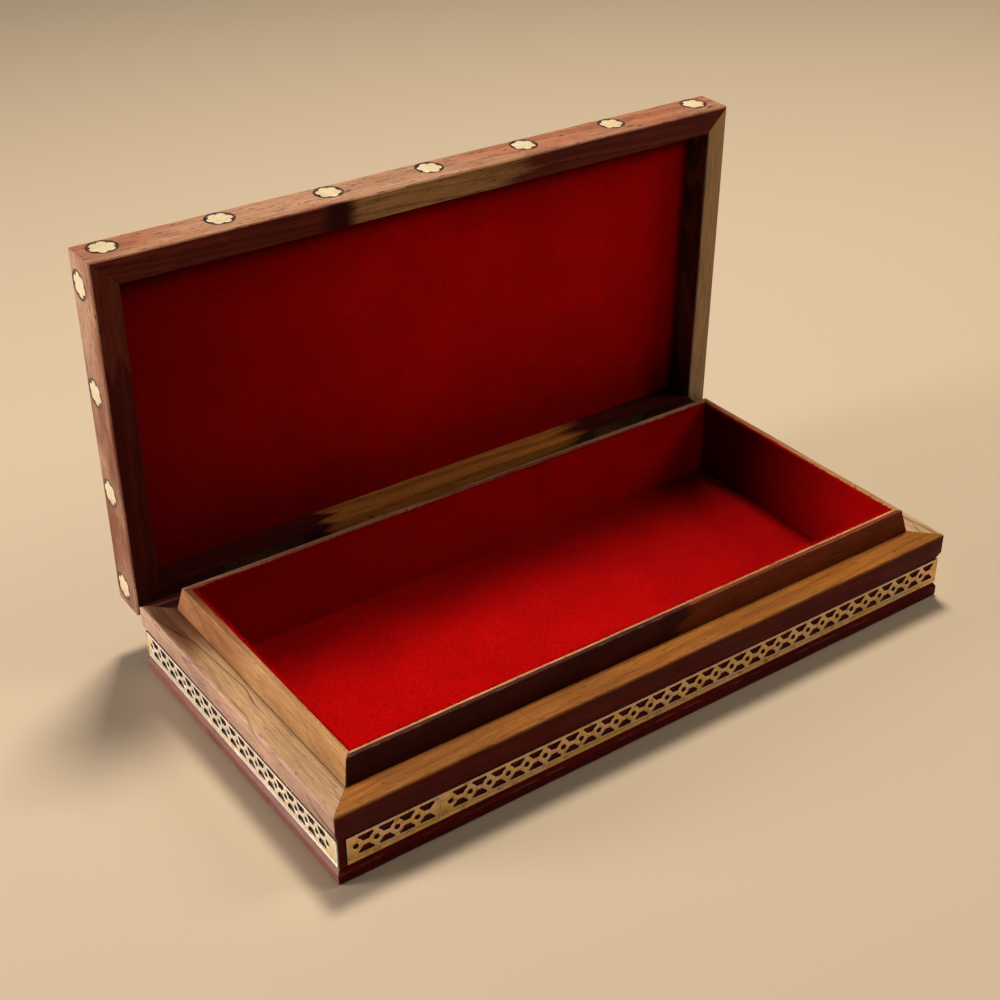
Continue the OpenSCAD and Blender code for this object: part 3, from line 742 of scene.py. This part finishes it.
def rowTree():
    tree, given, end = geometryTree("flowerRow", [
        ("Flower", "Object"), ("Count", "Int"), ("Start", "Vector"), ("Spacing", "Vector"),
        ("Turn", "Float"), ("Seed", "Int"), ("Material", "Material")])
    line = put(tree, "GeometryNodeMeshLine", None, Count=given["Count"], Start_Location=given["Start"],
               Offset=given["Spacing"])
    chance = put(tree, "FunctionNodeRandomValue", {"data_type": "FLOAT"}, Seed=given["Seed"])
    lowest, highest = [s for s in chance.inputs if s.type == "VALUE" and s.name in ("Min", "Max")][:2]
    tree.links.new(calc(tree, "MULTIPLY", given["Turn"], -1.0), lowest)
    tree.links.new(given["Turn"], highest)
    value = [s for s in chance.outputs if s.type == "VALUE"][0]
    turned = put(tree, "FunctionNodeAxisAngleToRotation", None, Axis=(0, 0, 1), Angle=value)
    flower = put(tree, "GeometryNodeObjectInfo", None, Object=given["Flower"])
    placed = put(tree, "GeometryNodeInstanceOnPoints", None, Points=line.outputs[0],
                 Instance=flower.outputs["Geometry"], Rotation=turned.outputs[0])
    closeTree(tree, placed.outputs[0], given["Material"], end)
    return tree


def makeFlowers():
    bone, lac = boneMaterial(), lacMaterial()
    tree = rowTree()
    makers = {"bone": (bonePetals, bone), "lac": (lacRing, lac)}
    for side, (turns, count) in flowerRows.items():
        low, high = closedBox(f"lac_{side}")
        radius = (high.z - low.z) / 2
        across = 0 if turns % 2 == 0 else 1
        spacing = (high[across] - low[across] - 2 * radius) / (count - 1)
        middle = (low + high) / 2
        # Drawn lying down with Z out of the wood, then stood up, turned and opened with the lid
        outward = {0: low.y, 1: high.x, 2: high.y, 3: low.x}[turns]
        stand = Matrix.Rotation(math.radians(90), 4, "X")
        turn = Matrix.Rotation(math.radians(90 * turns), 4, "Z")
        centre = middle.copy()
        centre[1 - across] = outward
        place = toOpen @ Matrix.Translation(centre) @ turn @ stand
        for stuff, (maker, material) in makers.items():
            pattern = maker(f"{stuff}_pattern", radius, material)
            piece = makeObject(bmesh.new(), f"{stuff}_{side}_inlay", material)
            modifier = piece.modifiers.new("row", "NODES")
            modifier.node_group = tree
            setInputs(modifier, {
                "Flower": pattern, "Count": count, "Start": (-spacing * (count - 1) / 2, 0.0, 0.0),
                "Spacing": (spacing, 0.0, 0.0), "Turn": math.radians(25), "Seed": 7 + turns,
                "Material": material})
            settle(piece, piece.name)
            piece.data.transform(place)
            bpy.data.objects.remove(pattern)
            smoothByArea(piece)
            handOver(piece, "lid", [f"{stuff}_{side}"])
    makeTopFlowers(makers, tree)


def makeTopFlowers(makers, tree):
    # Four small flowers near the corners and a large one in the middle of the lid's top
    low, high = closedBox("lac_top")
    topZ = high.z
    small = closedBox("lac_front")
    smallR = (small[1].z - small[0].z) / 2
    # The large flower is the only lac within 20 mm of the middle
    near = [c for c in (toClosed @ v.co for v in frame["nodes"]["lac_top"].data.vertices)
            if abs(c.x) < 20 * mm]
    largeR = max(c.x for c in near)
    cornerX, cornerY = high.x - smallR, high.y - smallR
    for stuff, (maker, material) in makers.items():
        whole = bmesh.new()
        spots = [(0, 0, largeR)] + [(x, y, smallR) for x in (-cornerX, cornerX) for y in (-cornerY, cornerY)]
        for i, (x, y, radius) in enumerate(spots):
            pattern = maker(f"{stuff}_pattern", radius, material)
            turn = Matrix.Rotation(0.4 * i, 4, "Z")
            pattern.data.transform(toOpen @ Matrix.Translation((x, y, topZ)) @ turn)
            whole.from_mesh(pattern.data)
            bpy.data.objects.remove(pattern)
        piece = makeObject(whole, f"{stuff}_top_inlay", material)
        smoothByArea(piece)
        handOver(piece, "lid", [f"{stuff}_top"])


makeFlowers()
print("flowers made")


# --- hinges, pins, screws and the brass line keep their shape, with eased edges ---

metalParts = {
    "hinge_leaf_base_left": "base", "hinge_leaf_base_right": "base", "hinge_pin_left": "base",
    "hinge_pin_right": "base", "base_screws": "base", "hinge_leaf_lid_left": "lid",
    "hinge_leaf_lid_right": "lid", "lid_screws": "lid", "line_front": "lid", "line_back": "lid",
    "line_left": "lid", "line_right": "lid",
}


def makeMetal():
    oldBrass = brassMaterial("hingeBrass", 0.8, 0.82)
    lineBrass = brassMaterial("lineBrass", 0.6)
    for nodeName, body in metalParts.items():
        brass = lineBrass if nodeName.startswith("line") else oldBrass
        mesh = cadCopy(nodeName)
        easeArrises(mesh, 0.07 * mm, 2, 40)
        piece = makeObject(mesh, f"{nodeName}_brass", brass)
        smoothByArea(piece)
        handOver(piece, body, [nodeName])


makeMetal()
print("hinges made")


# --- felt ---

feltParts = {
    # CAD node: (body, the way its face looks on the closed box)
    "felt_floor": ("base", (0, 0, 1)), "felt_front": ("base", (0, 1, 0)),
    "felt_back": ("base", (0, -1, 0)), "felt_left": ("base", (1, 0, 0)),
    "felt_right": ("base", (-1, 0, 0)), "felt_lid": ("lid", (0, 0, -1)),
}
feltShape = {"gridMm": 2.0, "dimpleMm": 0.05, "ragMm": 0.35, "rollMm": 0.12,
             "fibreMm": 1.5, "fibreThickMm": 0.06, "edgePerMm": 17, "faceFibres": 2600}


def feltSheet(nodeName, body, looks, material):
    # A closed sheet, cut into a fine grid, with a ragged upper edge and shallow dimples
    mesh = cadCopy(nodeName)
    onLid = body == "lid"
    if onLid:
        bmesh.ops.transform(mesh, matrix=toClosed, verts=mesh.verts)
    facing = Vector(looks)
    thin = max(range(3), key=lambda i: abs(looks[i]))
    for axis in range(3):
        if axis != thin:
            cutAcross(mesh, axis, feltShape["gridMm"] * mm)
    face = max(v.co.dot(facing) for v in mesh.verts)
    top = max(v.co.z for v in mesh.verts)
    for v in mesh.verts:
        if abs(v.co.dot(facing) - face) < 1e-6:
            depth = noise.noise(v.co * 260) * 0.6 + noise.noise(v.co * 70)
            v.co += facing * depth * feltShape["dimpleMm"] * mm
        if thin != 2 and abs(v.co.z - top) < 1e-6:
            rag = noise.noise(v.co * 900) + 0.6 * noise.noise(v.co * 230)
            v.co.z += rag * feltShape["ragMm"] * mm
    if onLid:
        bmesh.ops.transform(mesh, matrix=toOpen, verts=mesh.verts)
    piece = makeObject(mesh, f"{nodeName}_cloth", material)
    piece.data.shade_smooth()
    piece.data.set_sharp_from_angle(angle=math.radians(50))
    return piece


def fibreTree():
    tree, given, end = geometryTree("feltFibres", [
        ("Fibre", "Object"), ("Density", "Float"), ("Seed", "Int"), ("Lean", "Float"),
        ("Shortest", "Float"), ("Material", "Material")])
    spots = put(tree, "GeometryNodeDistributePointsOnFaces", None, Mesh=given["Geometry"],
                Density=given["Density"], Seed=given["Seed"])
    chance = put(tree, "FunctionNodeRandomValue", {"data_type": "FLOAT_VECTOR"}, Seed=given["Seed"])
    lean = given["Lean"]
    less = calc(tree, "MULTIPLY", lean, -1.0)
    vectors = [s for s in chance.inputs if s.type == "VECTOR"]
    tree.links.new(join3(tree, less, less, -3.14), vectors[0])
    tree.links.new(join3(tree, lean, lean, 3.14), vectors[1])
    leanTurn = put(tree, "FunctionNodeEulerToRotation", None, [chance.outputs[0]])
    turned = put(tree, "FunctionNodeRotateRotation", {"rotation_space": "LOCAL"},
                 [spots.outputs["Rotation"], leanTurn.outputs[0]])
    size = put(tree, "FunctionNodeRandomValue", {"data_type": "FLOAT"}, Seed=given["Seed"])
    low, high = [s for s in size.inputs if s.type == "VALUE" and s.name in ("Min", "Max")][:2]
    tree.links.new(given["Shortest"], low)
    high.default_value = 1.0
    sizes = [s for s in size.outputs if s.type == "VALUE"][0]
    fibre = put(tree, "GeometryNodeObjectInfo", None, Object=given["Fibre"])
    placed = put(tree, "GeometryNodeInstanceOnPoints", None, Points=spots.outputs[0],
                 Instance=fibre.outputs["Geometry"], Rotation=turned.outputs[0],
                 Scale=join3(tree, sizes, sizes, sizes))
    closeTree(tree, placed.outputs[0], given["Material"], end)
    return tree


def oneFibre():
    # A three-sided strand that tapers and curls over, in three short lengths
    length, thick = feltShape["fibreMm"] * mm, feltShape["fibreThickMm"] * mm
    mesh = bmesh.new()
    rings = []
    for i in range(3):
        share = i / 3
        middle = Vector((length * 0.45 * share * share, 0, length * share))
        r = thick * (1 - 0.6 * share)
        rings.append([mesh.verts.new(middle + Vector((r * math.cos(a), r * math.sin(a), 0)))
                      for a in (0, 2.1, 4.2)])
    tip = mesh.verts.new((length * 0.5, 0, length * 0.93))
    for lower, upper in zip(rings, rings[1:]):
        for i in range(3):
            j = (i + 1) % 3
            mesh.faces.new((lower[i], lower[j], upper[j], upper[i]))
    for i in range(3):
        mesh.faces.new((rings[-1][i], rings[-1][(i + 1) % 3], tip))
    mesh.faces.new(tuple(reversed(rings[0])))
    return makeObject(mesh, "feltStrand", bpy.data.materials[0])


def edgeRibbon():
    # The upper edge of the tray's lining, as a band of faces that the fibres grow from
    mesh = bmesh.new()
    for nodeName in ("felt_front", "felt_back", "felt_left", "felt_right"):
        low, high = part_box(nodeName)
        z = high.z - 0.05 * mm
        corners = [(low.x, low.y), (high.x, low.y), (high.x, high.y), (low.x, high.y)]
        mesh.faces.new([mesh.verts.new((x, y, z)) for x, y in corners])
    return mesh


def growFibres(name, body, emitter, density, seed, lean, material, tree, strand):
    piece = makeObject(emitter, name, material)
    modifier = piece.modifiers.new("fibres", "NODES")
    modifier.node_group = tree
    setInputs(modifier, {"Fibre": strand, "Density": density, "Seed": seed, "Lean": lean,
                         "Shortest": 0.35, "Material": material})
    settle(piece, name)
    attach(piece, body)
    return piece


def makeFelt():
    fluff = feltMaterial("redFluff", 0.25)
    tree = fibreTree()
    strand = oneFibre()
    sheets = {}
    for nodeName, (body, looks) in feltParts.items():
        cloth = feltMaterial(f"red_{nodeName}", 0.0, feltPaintedShade.get(nodeName, ()))
        piece = feltSheet(nodeName, body, looks, cloth)
        handOver(piece, body, [nodeName])
        sheets[nodeName] = piece
    edge = edgeRibbon()
    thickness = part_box("felt_front")[1].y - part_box("felt_front")[0].y
    perArea = feltShape["edgePerMm"] / mm / thickness
    fringe = growFibres("tray_felt_fringe", "base", edge, perArea, 11, 1.15, fluff, tree, strand)
    for nodeName, body, seed in (("felt_floor", "base", 12), ("felt_lid", "lid", 13)):
        mesh = bmesh.new()
        mesh.from_mesh(sheets[nodeName].data)
        looks = Vector(feltParts[nodeName][1])
        if body == "lid":
            looks = toOpen.to_3x3() @ looks
        mesh.normal_update()
        away = [f for f in mesh.faces if f.normal.dot(looks) < 0.7]
        bmesh.ops.delete(mesh, geom=away, context="FACES")
        area = sum(f.calc_area() for f in mesh.faces)
        growFibres(f"{nodeName}_nap", body, mesh, feltShape["faceFibres"] / area, seed,
                                     1.45, fluff, tree, strand)
    bpy.data.objects.remove(strand)


makeFelt()
print("felt made")


# --- floor, light and camera ---

stageLook = {"floor": (0.45, 0.34, 0.222), "sizeM": 6}
lights = {
    "keyLight": {"at": (0.20, 0.30, 1.05), "size": 0.22, "watts": 14.0, "colour": (1, 0.95, 0.87)},
    "topLight": {"at": (1.0, -0.45, 0.95), "size": 0.6, "watts": 7.0, "colour": (1, 0.96, 0.92)},
    "sideLight": {"at": (-0.95, 0.36, 0.24), "size": 0.34, "watts": 13.0, "colour": (0.98, 0.95, 1)},
}
cameraLook = {"at": (-0.2287, -0.3039, 0.2758), "forward": (0.5061, 0.6821, -0.5278),
              "rollDeg": 0.28, "lens": 58.9, "shift": (-0.0467, 0.013)}


def makeStage():
    bpy.ops.mesh.primitive_plane_add(size=stageLook["sizeM"], location=(0, 0, 0))
    floor = bpy.context.object
    floor.name = "floor"
    material, tree, shader = newMaterial("paleFloor")
    place = put(tree, "ShaderNodeTexCoord").outputs["Object"]
    # The floor is painted darker farther back: painted shade for light falling off away from the box
    depth = put(tree, "ShaderNodeSeparateXYZ", None, [place]).outputs[1]
    tone = spread(tree, depth, 0.1, 1.1, 1.0, 0.7)
    colour = mixColour(tree, 1.0, stageLook["floor"], join3(tree, tone, tone, tone), "MULTIPLY")
    tree.links.new(colour, shader.inputs["Base Color"])
    shader.inputs["Roughness"].default_value = 0.8
    floor.data.materials.append(material)


def makeLights():
    target = Vector((0, 0, 0.03))
    for name, look in lights.items():
        data = bpy.data.lights.new(name, "AREA")
        data.size = look["size"]
        data.energy = look["watts"]
        data.color = look["colour"]
        light = bpy.data.objects.new(name, data)
        light.location = look["at"]
        light.rotation_euler = (target - Vector(look["at"])).to_track_quat("-Z", "Y").to_euler()
        bpy.context.scene.collection.objects.link(light)
    world = bpy.data.worlds.new("studio")
    world.use_nodes = True
    background = world.node_tree.nodes["Background"]
    background.inputs["Color"].default_value = (1, 0.94, 0.86, 1)
    background.inputs["Strength"].default_value = 0.05
    bpy.context.scene.world = world


def makeCamera():
    data = bpy.data.cameras.new("camera")
    data.lens = cameraLook["lens"]
    data.sensor_width = 36
    data.shift_x, data.shift_y = cameraLook["shift"]
    data.clip_start = 0.01
    camera = bpy.data.objects.new("camera", data)
    camera.location = cameraLook["at"]
    level = Vector(cameraLook["forward"]).to_track_quat("-Z", "Y")
    roll = Euler((0, 0, math.radians(cameraLook["rollDeg"]))).to_quaternion()
    camera.rotation_mode = "QUATERNION"
    camera.rotation_quaternion = level @ roll
    bpy.context.scene.collection.objects.link(camera)
    bpy.context.scene.camera = camera


makeStage()
makeLights()
makeCamera()
bpy.context.scene.view_settings.view_transform = "Standard"
print("stage ready")
